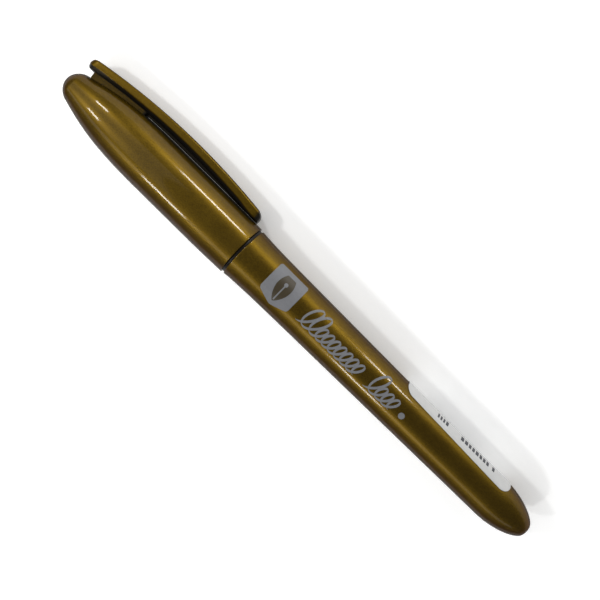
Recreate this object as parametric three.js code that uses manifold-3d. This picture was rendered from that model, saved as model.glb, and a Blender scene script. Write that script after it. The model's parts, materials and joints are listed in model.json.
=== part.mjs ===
// Calligraphy marker, in millimetres, +Z up.
// The marker lies on its side: x = 0 is its flat tail, +X runs along its axis to the cap's nose.
// The clip is on the -Y side, turned down until its edge meets the plane the cap lies on.

import * as THREE from 'three';
import { mergeVertices } from 'three/addons/utils/BufferGeometryUtils.js';
import Module from 'manifold-3d';

const wasm = await Module();
wasm.setup();

// ---- driving dimensions ----

const barrelLength = 83.6;     // flat tail to the barrel's mouth
const capLength = 51.8;        // cap rim to the cap's nose
const seamGap = 0.6;           // groove between the barrel's mouth and the cap's rim
const capRadius = 6.37;        // cap body, outside
const capRimDraft = 0.17;      // how much smaller the cap is at its rim
const capWall = 1.03;
const barrelTailRadius = 4.87; // barrel where its tail starts to round off
const barrelTaper = 0.0116;    // radius gained for each millimetre towards the mouth
const barrelFlareReach = 4;    // how fast the flare at the mouth dies away
const barrelWall = 1;
const mouthStep = 0.15;        // barrel's mouth inside the cap's rim
const mouthWall = 1.5;         // barrel wall around the section's spigot
const tailFlatRadius = 1.7;    // flat end face of the barrel
const tailRoundLength = 10;    // length of the rounded tail

const spigotLength = 14;       // section inside the barrel
const collarLength = 14;       // straight collar that the cap slides on
const collarShoulder = 0.45;   // step down from the collar to the cone
const snapBead = 0.07;         // height of the bead that holds the cap
const seamRingInset = 0.3;     // section's ring in the seam, inside the barrel's mouth
const nibRadius = 2.3;
const nibOut = 7;              // nib beyond the section's nose
const nibEdge = 0.5;           // thickness of the writing edge
const nibWedge = 5.2;          // length of the two slanting faces
const nibSlant = 30;           // writing edge's slant, in degrees
const noseWall = 0.7;          // section wall at its nose
const noseRoom = 17;           // nib's tip to the cap's nose

const housingWall = 0.6;
const housingFrontDepth = 5;   // section's inner shoulder, in front of the barrel's mouth
const seatHole = 1.35;         // radius of the hole in the valve seat
const seatThick = 1.2;
const gasketThick = 1.05;
const stemRadius = 0.9;
const stemHeadRadius = 1.9;
const stemHeadLength = 2.9;
const springLength = 6.6;
const springWire = 0.4;        // wire diameter
const springTurns = 6;
const cageThick = 1.1;
const cageHole = 1;

const ballRadius = 2.5;
const ballAt = 30;             // rest place of the mixing ball

const innerCapWall = 0.6;
const innerCapTipRoom = 2.4;   // nib's tip to the inner cap's end
const innerCapFlange = 3;      // length of its seating flange

const labelStart = 9.1;
const labelEnd = 39.5;
const labelThick = 0.12;
const labelFromAngle = -56;    // around the barrel from the clip's direction, in degrees
const labelToAngle = 80;

const clipWidth = 5;
const clipThick = 1.8;
const clipStep = 0.75;         // narrower second layer under the clip
const clipStepWidth = 3.3;
const clipBevel = 0.35;
const clipRise = 3.41;         // clip's highest point above the cap
const clipArc = 162;           // radius of the clip's back
const clipCrestFromRim = 21.8;
const clipNoseInset = 1.4;     // clip's front end behind the cap's nose
const clipRimInset = 1.65;     // clip's tip in front of the cap's rim
const webFront = 3.7;          // clip's foot, from the cap's nose
const webEnd = 17.6;           // where the foot ends and the arm starts to flex
const webWidth = 3;
const webSink = 0.3;           // clip's foot below the cap's surface
const ribWidth = 1.8;

// ---- clearances ----

const gapCut = 0.3;            // beside a cut face or a flexing piece
const gapFit = 0.05;           // round pieces pressed together
const gapSlide = 0.12;         // round pieces that slide
const inkRoom = 0.2;           // around the nib

// ---- places along the axis ----

const mouthX = barrelLength;
const rimX = mouthX + seamGap;
const noseX = rimX + capLength;
const tipX = noseX - noseRoom;
const sectionNoseX = tipX - nibOut;
const collarEndX = mouthX + collarLength;
const spigotEndX = mouthX - spigotLength;
const housingFrontX = mouthX + housingFrontDepth;
const nibBackX = housingFrontX + 1;
const seatFrontX = mouthX + 0.2;
const seatBackX = seatFrontX - seatThick;
const gasketBackX = seatBackX - gapFit - gasketThick;
const headFrontX = gasketBackX - gapFit;
const headBackX = headFrontX - stemHeadLength;
const springBackX = headBackX - gapFit - springLength;
const cageFrontX = springBackX - gapFit;
const cageBackX = cageFrontX - cageThick;
const housingBackX = cageBackX - 0.6;
const innerCapEndX = tipX + innerCapTipRoom + innerCapWall;

// ---- radii that follow from others ----

const capRimRadius = capRadius - capRimDraft;
const capBore = capRimRadius - capWall;
const collarRadius = capBore - gapSlide;
const coneRadius = collarRadius - collarShoulder;
const mouthRadius = capRimRadius - mouthStep;
const spigotBore = mouthRadius - mouthWall;
const spigotRadius = spigotBore - gapFit;
const inkBore = barrelTailRadius - barrelWall;
const nibBore = nibRadius + inkRoom;
const sectionNoseRadius = nibBore + noseWall;
const housingRadius = nibBore + housingWall;
const housingBore = nibBore - gapFit;
const innerCapRadius = sectionNoseRadius + 2 * gapSlide + innerCapWall;
const clipCrest = capRadius + clipRise;
const clipCrestX = rimX + clipCrestFromRim;

// The clip's outer edge lies on the plane that the cap's body touches.
const clipCornerReach = Math.hypot(clipCrest, clipWidth / 2);
const clipRoll = Math.asin(capRadius / clipCornerReach) - Math.atan(clipWidth / 2 / clipCrest);

// ---- shaping ----

const turns = 48;              // flats around every turned piece

const at = (x, r) => new THREE.Vector2(r, x);

const bezier = (...points) => new THREE.CubicBezierCurve(...points.map(([x, r]) => at(x, r)));

function turned(profile) {
  // Revolves points [x, radius] around the X axis. The outside runs towards +X.
  const geometry = new THREE.LatheGeometry(profile, turns);
  geometry.rotateZ(-Math.PI / 2);
  return geometry;
}

function ring(fromX, toX, innerRadius, outerRadius) {
  return turned([
    at(fromX, innerRadius),
    at(fromX, outerRadius),
    at(toX, outerRadius),
    at(toX, innerRadius),
    at(fromX, innerRadius),
  ]);
}

function solidOf(geometry) {
  const bare = geometry.clone();
  bare.deleteAttribute('normal');
  bare.deleteAttribute('uv');
  const merged = mergeVertices(bare, 1e-4);
  const corners = merged.index.array;
  const kept = [];
  for (let i = 0; i < corners.length; i += 3) {
    const [a, b, c] = [corners[i], corners[i + 1], corners[i + 2]];
    if (a !== b && b !== c && c !== a) kept.push(a, b, c);
  }
  return new wasm.Manifold(new wasm.Mesh({
    numProp: 3,
    vertProperties: new Float32Array(merged.attributes.position.array),
    triVerts: new Uint32Array(kept),
  }));
}

function geometryOf(solid) {
  const mesh = solid.getMesh();
  const geometry = new THREE.BufferGeometry();
  geometry.setAttribute('position', new THREE.BufferAttribute(mesh.vertProperties, 3));
  geometry.setIndex(new THREE.BufferAttribute(mesh.triVerts, 1));
  geometry.computeVertexNormals();
  return geometry;
}

function plate(outline, width, bevel = 0) {
  // Extrudes an outline of [x, height] across its width, centred, with its long edges bevelled.
  const shape = new THREE.Shape(outline.map(([x, h]) => new THREE.Vector2(x, h)));
  const geometry = new THREE.ExtrudeGeometry(shape, {
    depth: width - 2 * bevel,
    bevelEnabled: bevel > 0,
    bevelThickness: bevel,
    bevelSize: bevel,
    bevelOffset: -bevel,
    bevelSegments: 1,
  });
  geometry.translate(0, 0, bevel - width / 2);
  return geometry;
}

// ---- outlines ----

// Cap outside, from the nose backwards: a dome, a cone that swells into the body, then the rim.
const capNose = bezier([noseX, 0], [noseX, 1.3], [noseX - 0.95, 2.85], [noseX - 2.6, 3.45]);
const capSwell = bezier(
  [noseX - 2.6, 3.45],
  [noseX - 9, 5.3],
  [noseX - 14, capRadius],
  [noseX - 26, capRadius],
);

function capOutside() {
  const rimRound = 0.3;
  return [
    at(rimX, capRimRadius - rimRound),
    at(rimX + rimRound, capRimRadius),
    at(rimX + 7.6, capRadius - 0.02),
    ...capSwell.getPoints(14).reverse(),
    ...capNose.getPoints(8).reverse().slice(1),
  ];
}

function capRadiusAt(x) {
  const points = capOutside();
  const next = points.findIndex((point) => point.y >= x);
  const [low, high] = [points[next - 1], points[next]];
  return THREE.MathUtils.mapLinear(x, low.y, high.y, low.x, high.x);
}

function barrelRadiusAt(x) {
  const straight = (place) => barrelTailRadius + barrelTaper * (place - tailRoundLength);
  const flare = mouthRadius - straight(mouthX);
  return straight(x) + flare * Math.exp((x - mouthX) / barrelFlareReach);
}

function barrelOutside() {
  const tail = bezier(
    [0, tailFlatRadius],
    [0.5, tailFlatRadius + 0.9],
    [4.3, barrelTailRadius - 0.07],
    [tailRoundLength, barrelRadiusAt(tailRoundLength)],
  );
  const along = [];
  const steps = 14;
  for (let i = 1; i <= steps; i += 1) {
    const x = THREE.MathUtils.lerp(tailRoundLength, mouthX, Math.sin((i / steps) * Math.PI / 2));
    along.push(at(x, barrelRadiusAt(x)));
  }
  return [...tail.getPoints(8), ...along];
}

// Clip back: an arc over its highest point. Its underside is the same arc, one thickness lower.
function clipHeight(x) {
  return clipCrest - clipArc + Math.sqrt(clipArc ** 2 - (x - clipCrestX) ** 2);
}

function clipLine(fromX, toX, drop, steps = 10) {
  const line = [];
  for (let i = 0; i <= steps; i += 1) {
    const x = THREE.MathUtils.lerp(fromX, toX, i / steps);
    line.push([x, clipHeight(x) - drop]);
  }
  return line;
}

// ---- barrel side ----

function barrel() {
  const boreStart = tailRoundLength - 2;
  return turned([
    at(0, 0),
    ...barrelOutside(),
    at(mouthX, spigotBore),
    at(spigotEndX - 1, spigotBore),
    at(spigotEndX - 2, inkBore),
    at(boreStart, inkBore),
    at(boreStart - 3, inkBore - 1.2),
    at(boreStart - 4.5, 0),
  ]);
}

function frontSection() {
  const coneStart = collarEndX + 0.5;
  return turned([
    at(spigotEndX, housingRadius + gapFit),
    at(spigotEndX, spigotRadius - 0.3),
    at(spigotEndX + 0.8, spigotRadius),
    at(mouthX + gapFit, spigotRadius),
    at(mouthX + gapFit, mouthRadius - seamRingInset),
    at(rimX - gapSlide, mouthRadius - seamRingInset),
    at(rimX - gapSlide, collarRadius),
    at(collarEndX - 4, collarRadius),
    at(collarEndX - 3.2, collarRadius + snapBead),
    at(collarEndX - 2.4, collarRadius),
    at(collarEndX, collarRadius),
    at(coneStart, coneRadius),
    at(sectionNoseX - 0.5, sectionNoseRadius),
    at(sectionNoseX, sectionNoseRadius - 0.4),
    at(sectionNoseX, nibBore),
    at(housingFrontX, nibBore),
    at(housingFrontX, housingRadius + gapFit),
    at(spigotEndX, housingRadius + gapFit),
  ]);
}

function nib() {
  // A round fibre rod. Two slanting cuts leave a wedge, and one more sets the writing edge askew.
  const rod = solidOf(turned([
    at(nibBackX, 0),
    at(nibBackX, nibRadius - 0.3),
    at(nibBackX + 0.3, nibRadius),
    at(tipX, nibRadius),
    at(tipX, 0),
  ]));
  const reach = 3 * nibRadius;
  const wedge = solidOf(plate([
    [nibBackX - 1, reach],
    [nibBackX - 1, -reach],
    [tipX - nibWedge, -nibRadius - 0.1],
    [tipX, -nibEdge / 2],
    [tipX, nibEdge / 2],
    [tipX - nibWedge, nibRadius + 0.1],
  ], 2 * reach));
  const lean = Math.tan(THREE.MathUtils.degToRad(nibSlant)) * nibRadius;
  const slant = plate([
    [nibBackX - 1, -reach],
    [tipX - 2 * lean, -nibRadius],
    [tipX, nibRadius],
    [tipX, reach],
    [nibBackX - 1, reach],
  ].map(([x, h]) => [x, -h]).reverse(), 2 * reach);
  slant.rotateX(Math.PI / 2);
  return geometryOf(rod.intersect(wedge).intersect(solidOf(slant)));
}

function valveHousing() {
  const front = housingFrontX - gapFit;
  return turned([
    at(housingBackX, housingBore - 0.4),
    at(housingBackX, housingRadius),
    at(front, housingRadius),
    at(front, nibBore),
    at(seatFrontX, nibBore),
    at(seatFrontX, seatHole),
    at(seatBackX, seatHole),
    at(seatBackX, housingBore),
    at(cageBackX - gapFit, housingBore),
    at(cageBackX - gapFit, housingBore - 0.4),
    at(housingBackX, housingBore - 0.4),
  ]);
}

function valveGasket() {
  return ring(gasketBackX, seatBackX - gapFit, seatHole - 0.1, housingBore - gapFit);
}

function valveStem() {
  const coneBack = headFrontX - 0.9;
  return turned([
    at(headBackX - 2, 0),
    at(headBackX - 2, stemRadius - 0.3),
    at(headBackX, stemRadius - 0.3),
    at(headBackX, stemHeadRadius),
    at(coneBack, stemHeadRadius),
    at(headFrontX, stemRadius + 0.3),
    at(headFrontX, stemRadius),
    at(nibBackX - 2 * gapFit, stemRadius),
    at(nibBackX - 2 * gapFit, 0),
  ]);
}

class Helix extends THREE.Curve {
  constructor(radius, length, coils) {
    super();
    this.radius = radius;
    this.length = length;
    this.coils = coils;
  }

  getPoint(t, target = new THREE.Vector3()) {
    const angle = 2 * Math.PI * this.coils * t;
    return target.set(this.length * t, this.radius * Math.cos(angle), this.radius * Math.sin(angle));
  }
}

function valveSpring() {
  const section = new THREE.Shape();
  section.absarc(0, 0, springWire / 2, 0, 2 * Math.PI);
  const path = new Helix(stemHeadRadius - 0.45, springLength - springWire, springTurns);
  const geometry = new THREE.ExtrudeGeometry(section, {
    steps: 14 * springTurns,
    curveSegments: 3,
    extrudePath: path,
  });
  geometry.translate(springBackX + springWire / 2, 0, 0);
  return geometry;
}

function valveCage() {
  return ring(cageBackX, cageFrontX, cageHole, housingBore - gapFit);
}

function mixingBall() {
  return new THREE.SphereGeometry(ballRadius, 24, 14);
}

function barcodeLabel() {
  // A thin skin over the barrel, cut to a sector of its circle.
  const steps = 6;
  const inner = [];
  const outer = [];
  for (let i = 0; i <= steps; i += 1) {
    const x = THREE.MathUtils.lerp(labelStart - 1, labelEnd + 1, i / steps);
    inner.push(at(x, barrelRadiusAt(x) + gapFit));
    outer.push(at(x, barrelRadiusAt(x) + gapFit + labelThick));
  }
  const skin = turned([...outer, ...inner.reverse(), outer[0]]);
  const reach = 3 * barrelTailRadius;
  const [from, to] = [labelFromAngle, labelToAngle].map(THREE.MathUtils.degToRad);
  const sector = new THREE.Shape();
  sector.moveTo(0, 0);
  sector.lineTo(reach * Math.cos(from), reach * Math.sin(from));
  sector.absarc(0, 0, reach, from, to);
  sector.closePath();
  const wedge = new THREE.ExtrudeGeometry(sector, {
    depth: labelEnd - labelStart,
    bevelEnabled: false,
    curveSegments: 12,
  });
  const [toClip, sideways, along] = [[0, 1, 0], [0, 0, 1], [1, 0, 0]].map((axis) => new THREE.Vector3(...axis));
  wedge.applyMatrix4(new THREE.Matrix4().makeBasis(toClip, sideways, along));
  wedge.translate(labelStart, 0, 0);
  return geometryOf(solidOf(skin).intersect(solidOf(wedge)));
}

// ---- cap side ----

function clipFoot(grow) {
  // Side outline of the clip's foot, from inside the clip down into its pocket in the cap.
  const [front, back] = [noseX - webFront + grow, noseX - webEnd - grow];
  const steps = 6;
  const sole = [];
  for (let i = 0; i <= steps; i += 1) {
    const x = THREE.MathUtils.lerp(back, front, i / steps);
    sole.push([x, capRadiusAt(Math.min(x, noseX - webFront)) - webSink - grow]);
  }
  const lid = clipLine(front, back, clipThick / 2, steps);
  return [...sole, ...lid];
}

function capShell() {
  const shell = solidOf(turned([
    at(rimX, capBore + 0.1),
    ...capOutside(),
    at(noseX - 5, 0),
    at(noseX - 7.5, 2.4),
    at(innerCapEndX + 0.8, innerCapRadius + gapSlide),
    at(noseX - 22, capBore - 0.3),
    at(noseX - 24, capBore),
    at(rimX + 0.4, capBore),
    at(rimX, capBore + 0.1),
  ]));
  const pocket = solidOf(plate(clipFoot(gapCut), webWidth + 2 * gapCut));
  return geometryOf(shell.subtract(pocket));
}

function innerCap() {
  const flangeBack = collarEndX + 0.6;
  const flangeFront = flangeBack + innerCapFlange;
  const tipBore = innerCapRadius - innerCapWall;
  const coneBore = (x) => {
    const cone = THREE.MathUtils.mapLinear(x, collarEndX + 0.5, sectionNoseX, coneRadius, sectionNoseRadius);
    return cone + 2 * gapSlide;
  };
  return turned([
    at(flangeBack, coneBore(flangeBack)),
    at(flangeBack, capBore - gapFit),
    at(flangeFront, capBore - gapFit),
    at(flangeFront, Math.min(coneBore(flangeFront) + innerCapWall, capBore - gapFit)),
    at(sectionNoseX, innerCapRadius),
    at(innerCapEndX - 0.8, innerCapRadius - 0.2),
    at(innerCapEndX, innerCapRadius - 1),
    at(innerCapEndX, 0),
    at(innerCapEndX - innerCapWall, 0),
    at(innerCapEndX - innerCapWall, tipBore - 0.8),
    at(innerCapEndX - innerCapWall - 0.8, tipBore - 0.2),
    at(sectionNoseX, tipBore),
    at(flangeBack, coneBore(flangeBack)),
  ]);
}

function clipLayer(fromX, toX) {
  return plate([
    ...clipLine(fromX, toX, clipThick + clipStep),
    ...clipLine(toX, fromX, clipThick / 2),
  ], clipStepWidth);
}

function clipRoot() {
  const [front, back] = [noseX - clipNoseInset, noseX - webEnd + gapCut / 2];
  const bar = plate([...clipLine(back, front, clipThick), ...clipLine(front, back, 0)], clipWidth, clipBevel);
  const foot = plate(clipFoot(0).map(([x, h]) => [Math.max(x, back), h]), webWidth);
  return geometryOf(solidOf(bar).add(solidOf(clipLayer(back, front - 0.6))).add(solidOf(foot)));
}

function clipArm() {
  const [front, back] = [noseX - webEnd - gapCut / 2, rimX + clipRimInset];
  const tip = back + 1.6;
  const bar = plate([
    ...clipLine(tip, front, clipThick),
    ...clipLine(front, tip, 0),
    [back + 0.4, clipHeight(tip) - 0.9],
    [back, clipHeight(tip) - clipThick],
  ], clipWidth, clipBevel);
  const ribFoot = capRadius + gapCut;
  const rib = plate([
    [back + 0.5, ribFoot + 0.2],
    [tip, ribFoot],
    [front, ribFoot],
    [front, clipHeight(front) - clipThick / 2],
    [clipCrestX, clipCrest - clipThick / 2],
    [tip, clipHeight(tip) - clipThick / 2],
  ], ribWidth);
  // The second layer stops where it would come too near the cap.
  const layerDrop = clipRise - clipThick - clipStep - gapCut;
  const layerEnd = clipCrestX - Math.sqrt(2 * clipArc * layerDrop);
  return geometryOf(solidOf(bar).add(solidOf(clipLayer(layerEnd, front))).add(solidOf(rib)));
}

// ---- finishes ----

const finish = (color, roughness, metalness = 0) => new THREE.MeshStandardMaterial({ color, roughness, metalness });

const goldLacquer = finish(0x6a5836, 0.35, 0.6);
const blackPlastic = finish(0x1b1a19, 0.4);
const whitePlastic = finish(0xe6e4dc, 0.5);
const felt = finish(0xb9a26a, 0.95);
const rubber = finish(0x2a2a2c, 0.7);
const steel = finish(0xb8bbc0, 0.25, 1);
const paper = finish(0xf2f1ec, 0.9);

// ---- assembly ----

function piece(name, geometry, material) {
  const mesh = new THREE.Mesh(geometry, material);
  mesh.name = name;
  return mesh;
}

const ball = piece('mixing_ball', mixingBall(), steel);
ball.position.set(ballAt, 0, ballRadius + gapSlide - inkBore);

// The other pieces are drawn with the clip towards +Y, and turned together to where it rests.
const rolled = new THREE.Group();
rolled.rotation.x = Math.PI + clipRoll;
rolled.add(
  piece('barrel', barrel(), goldLacquer),
  piece('barcode_label', barcodeLabel(), paper),
  piece('front_section', frontSection(), blackPlastic),
  piece('nib', nib(), felt),
  piece('valve_housing', valveHousing(), whitePlastic),
  piece('valve_gasket', valveGasket(), rubber),
  piece('valve_stem', valveStem(), whitePlastic),
  piece('valve_spring', valveSpring(), steel),
  piece('valve_cage', valveCage(), whitePlastic),
  piece('cap_shell', capShell(), goldLacquer),
  piece('inner_cap', innerCap(), whitePlastic),
  piece('clip_root', clipRoot(), goldLacquer),
  piece('clip_arm', clipArm(), goldLacquer),
);

const marker = new THREE.Group();
marker.add(rolled, ball);

export default marker;
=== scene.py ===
"""A capped calligraphy marker, lying on a pale surface.

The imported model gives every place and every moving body. This script gives the marker its fine
surfaces: turned shells, the clip as one springy moulding, the chisel nib, the paper label and the
silver print, each with its own finish.
"""

import json

import bpy
import numpy as np
from mathutils import Matrix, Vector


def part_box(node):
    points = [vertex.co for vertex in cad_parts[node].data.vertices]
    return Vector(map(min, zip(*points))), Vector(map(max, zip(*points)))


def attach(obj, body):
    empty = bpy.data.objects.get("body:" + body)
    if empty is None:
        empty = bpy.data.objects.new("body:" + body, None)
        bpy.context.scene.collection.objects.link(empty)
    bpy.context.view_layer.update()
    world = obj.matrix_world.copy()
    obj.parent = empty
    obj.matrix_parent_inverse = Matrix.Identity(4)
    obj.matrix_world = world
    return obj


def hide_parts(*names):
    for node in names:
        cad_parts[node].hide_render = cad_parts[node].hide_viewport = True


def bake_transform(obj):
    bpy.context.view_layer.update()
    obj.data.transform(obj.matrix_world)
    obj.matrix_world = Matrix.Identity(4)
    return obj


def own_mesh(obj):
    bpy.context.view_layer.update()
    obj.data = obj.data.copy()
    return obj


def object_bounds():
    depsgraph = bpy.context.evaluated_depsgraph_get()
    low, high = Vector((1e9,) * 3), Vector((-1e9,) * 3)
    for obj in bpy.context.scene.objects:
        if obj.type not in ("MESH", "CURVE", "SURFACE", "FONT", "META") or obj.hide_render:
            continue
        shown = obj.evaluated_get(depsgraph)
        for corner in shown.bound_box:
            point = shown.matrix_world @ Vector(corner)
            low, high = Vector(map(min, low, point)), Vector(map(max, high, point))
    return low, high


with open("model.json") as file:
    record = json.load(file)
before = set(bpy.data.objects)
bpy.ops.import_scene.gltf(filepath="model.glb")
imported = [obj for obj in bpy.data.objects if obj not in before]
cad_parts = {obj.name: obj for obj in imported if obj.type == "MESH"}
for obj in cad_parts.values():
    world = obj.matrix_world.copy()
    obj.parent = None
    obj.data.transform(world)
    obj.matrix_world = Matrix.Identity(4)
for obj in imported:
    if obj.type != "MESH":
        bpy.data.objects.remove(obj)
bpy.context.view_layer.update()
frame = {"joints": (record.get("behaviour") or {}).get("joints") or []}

MM = 0.001
TAU = 2 * np.pi


# ---- places and directions, from the frame, in millimetres ----

def reach(node):
    """Gives a node's first and last place along the marker."""
    low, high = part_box(node)
    return low.x / MM, high.x / MM


def across(node):
    """Gives the radius of a turned node, as half its height."""
    low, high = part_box(node)
    return (high.z - low.z) / 2 / MM


MOUTH = reach("barrel")[1]
RIM, NOSE = reach("cap_shell")
SPIGOT_END, SECTION_NOSE = reach("front_section")
NIB_BACK, NIB_TIP = reach("nib")
LABEL_START, LABEL_END = reach("barcode_label")
CAP_RADIUS = across("cap_shell")
MOUTH_RADIUS = across("barrel")
COLLAR_RADIUS = across("inner_cap") - 0.07
NIB_RADIUS = across("nib")

FLEX = next(joint for joint in frame["joints"] if joint["name"] == "clip_flex")
ALONG = np.array([1.0, 0.0, 0.0])
TO_VIEWER = np.array(FLEX["axis"]) / np.linalg.norm(FLEX["axis"])
TO_CLIP = np.cross(ALONG, TO_VIEWER)


def place(x, to_clip, to_viewer):
    """Puts points given along the marker, towards the clip and towards the viewer into the row
    frame, in metres."""
    x, to_clip, to_viewer = np.broadcast_arrays(x, to_clip, to_viewer)
    point = x[..., None] * ALONG + to_clip[..., None] * TO_CLIP + to_viewer[..., None] * TO_VIEWER
    return point * MM


def around(x, radius, angle):
    """Puts points given by place, radius and angle from the clip's direction into the row frame."""
    return place(x, radius * np.cos(angle), radius * np.sin(angle))


# ---- camera ----

VIEW_MIDDLE = 68.0
VIEW_ABOVE_AXIS = 1.25
VIEW_DISTANCE = 170.0
VIEW_ROLL = 135.36
VIEW_WIDTH = 127.2


def camera():
    """Looks at the marker's middle square to the clip's plane, from close by, rolled so that the
    nose points up and to the left."""
    roll = np.radians(VIEW_ROLL)
    target = place(VIEW_MIDDLE, VIEW_ABOVE_AXIS, 0.0)
    right = np.cos(roll) * ALONG + np.sin(roll) * TO_CLIP
    up = np.sin(roll) * ALONG - np.cos(roll) * TO_CLIP
    lens = bpy.data.cameras.new("camera")
    lens.sensor_width = 36
    lens.lens = lens.sensor_width * VIEW_DISTANCE / VIEW_WIDTH
    lens.clip_start = 0.01
    made = bpy.data.objects.new("camera", lens)
    made.matrix_world = Matrix.Translation(target + TO_VIEWER * VIEW_DISTANCE * MM) @ Matrix(
        np.column_stack([right, up, TO_VIEWER]).tolist()
    ).to_4x4()
    bpy.context.scene.collection.objects.link(made)
    bpy.context.scene.camera = made


# ---- materials ----

def tint(code):
    """Turns an sRGB hex colour into linear red, green, blue and alpha."""
    parts = np.array([int(code[i:i + 2], 16) for i in (1, 3, 5)]) / 255
    linear = np.where(parts <= 0.04045, parts / 12.92, ((parts + 0.055) / 1.055) ** 2.4)
    return (*linear.tolist(), 1.0)


def plug(tree, node, inputs):
    """Sets each input to a value, or links it to a socket or to a node's first enabled output."""
    for name, value in inputs.items():
        if isinstance(value, bpy.types.Node):
            value = next(output for output in value.outputs if output.enabled)
        if isinstance(value, bpy.types.NodeSocket):
            tree.links.new(value, node.inputs[name])
        else:
            node.inputs[name].default_value = value


def add(tree, kind, inputs=None, **settings):
    """Adds a shader node with its settings and inputs."""
    made = tree.nodes.new("ShaderNode" + kind)
    for name, value in settings.items():
        setattr(made, name, value)
    plug(tree, made, inputs or {})
    return made


def new_material(name):
    """Starts a material, and gives its tree, its shader and its object coordinates."""
    made = bpy.data.materials.new(name)
    made.use_nodes = True
    tree = made.node_tree
    shader = tree.nodes["Principled BSDF"]
    where = add(tree, "TexCoord").outputs["Object"]
    return made, tree, shader, where


def scale_for(size):
    """Gives the scale of a pattern whose features are about size millimetres across."""
    return 1 / (size * MM)


DEEP_GOLD = tint("#423107")
BRIGHT_GOLD = tint("#624d12")
# The black of the bare plastic, which also serves as painted shade.
BARE_PLASTIC_AND_SHADE = tint("#141312")


def gold_lacquer(name, coat, coat_roughness, roughness):
    """Gold-bronze metal-flake lacquer, spray-painted on black ABS. The flakes lie almost flat, so it is
    dark face-on and bright beside the lights; the clear top coat adds thin sharp reflections. Where
    a piece's mark says so, black shows instead: the bare plastic inside the cap and barrel, and
    painted shade under and around the clip and at its ends."""
    made, tree, shader, where = new_material(name)
    cover = add(tree, "Attribute", attribute_name="cover").outputs["Fac"]
    speckle = add(tree, "TexNoise", {"Vector": where, "Scale": scale_for(0.35), "Detail": 1.0})
    ragged = add(tree, "MapRange", {"Value": speckle, "To Min": -0.16, "To Max": 0.16})
    ragged_edge_share = add(tree, "Math", {0: cover, 1: ragged}, operation="ADD")
    gold_share = add(tree, "MapRange", {"Value": ragged_edge_share, "From Min": 0.32, "From Max": 0.68})
    # Real flakes are 0.02 to 0.05 mm; drawn at 0.14 mm so that they show.
    flakes = add(tree, "TexVoronoi", {"Vector": where, "Scale": scale_for(0.14)})
    flake = add(tree, "SeparateColor", {"Color": flakes.outputs["Color"]})
    drift = add(tree, "TexNoise", {"Vector": where, "Scale": scale_for(7.0), "Detail": 3.0})
    flake_share = add(tree, "MapRange", {"Value": flake, "To Max": 0.45})
    drift_share = add(tree, "MapRange", {"Value": drift, "To Max": 0.6})
    tone = add(tree, "Math", {0: flake_share, 1: drift_share}, operation="ADD")
    gold = add(tree, "Mix", {0: tone, 6: DEEP_GOLD, 7: BRIGHT_GOLD}, data_type="RGBA")
    # Painted shade: where the mark is low the colour goes to black. This stands for shade under and
    # around the clip, and for bare plastic.
    colour = add(tree, "Mix", {0: gold_share, 6: BARE_PLASTIC_AND_SHADE, 7: gold}, data_type="RGBA")
    metal = add(tree, "MapRange", {"Value": gold_share, "To Max": 0.9})
    rough = add(tree, "MapRange", {
        "Value": flake, "To Min": roughness - 0.05, "To Max": roughness + 0.05,
    })
    # Orange peel: the spray coat dries in soft ripples about 1.5 mm apart.
    ripples = add(tree, "TexNoise", {"Vector": where, "Scale": scale_for(1.5), "Detail": 1.0})
    glints = add(tree, "MapRange", {"Value": flake, "To Max": 0.12})
    peel = add(tree, "Math", {0: ripples, 1: glints}, operation="ADD")
    raised = add(tree, "Bump", {"Height": peel, "Distance": 0.0008 * MM, "Strength": 1.0})
    plug(tree, shader, {
        "Base Color": colour, "Metallic": metal, "Roughness": rough, "Normal": raised,
    })
    shader.inputs["Coat Weight"].default_value = coat
    shader.inputs["Coat Roughness"].default_value = coat_roughness
    shader.inputs["Coat IOR"].default_value = 1.5
    shader.inputs["Specular Tint"].default_value = tint("#7a6a44")
    return made


def moulded_plastic(name, code, second, roughness, gloss=0.5, through=0.0):
    """Injection-moulded plastic: an even colour with faint flow clouds and a fine satin grain."""
    made, tree, shader, where = new_material(name)
    clouds = add(tree, "TexNoise", {"Vector": where, "Scale": scale_for(5.0), "Detail": 3.0})
    grain = add(tree, "TexNoise", {"Vector": where, "Scale": scale_for(0.25), "Detail": 1.0})
    colour = add(tree, "Mix", {0: clouds, 6: tint(code), 7: tint(second)}, data_type="RGBA")
    rough = add(tree, "MapRange", {
        "Value": grain, "To Min": roughness - 0.05, "To Max": roughness + 0.08,
    })
    raised = add(tree, "Bump", {"Height": grain, "Distance": 0.003 * MM, "Strength": 1.0})
    plug(tree, shader, {"Base Color": colour, "Roughness": rough, "Normal": raised})
    shader.inputs["Specular IOR Level"].default_value = gloss
    shader.inputs["Subsurface Weight"].default_value = through
    shader.inputs["Subsurface Radius"].default_value = (1.2 * MM, 1.1 * MM, 0.9 * MM)
    shader.inputs["Subsurface Scale"].default_value = 1.0
    return made


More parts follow.
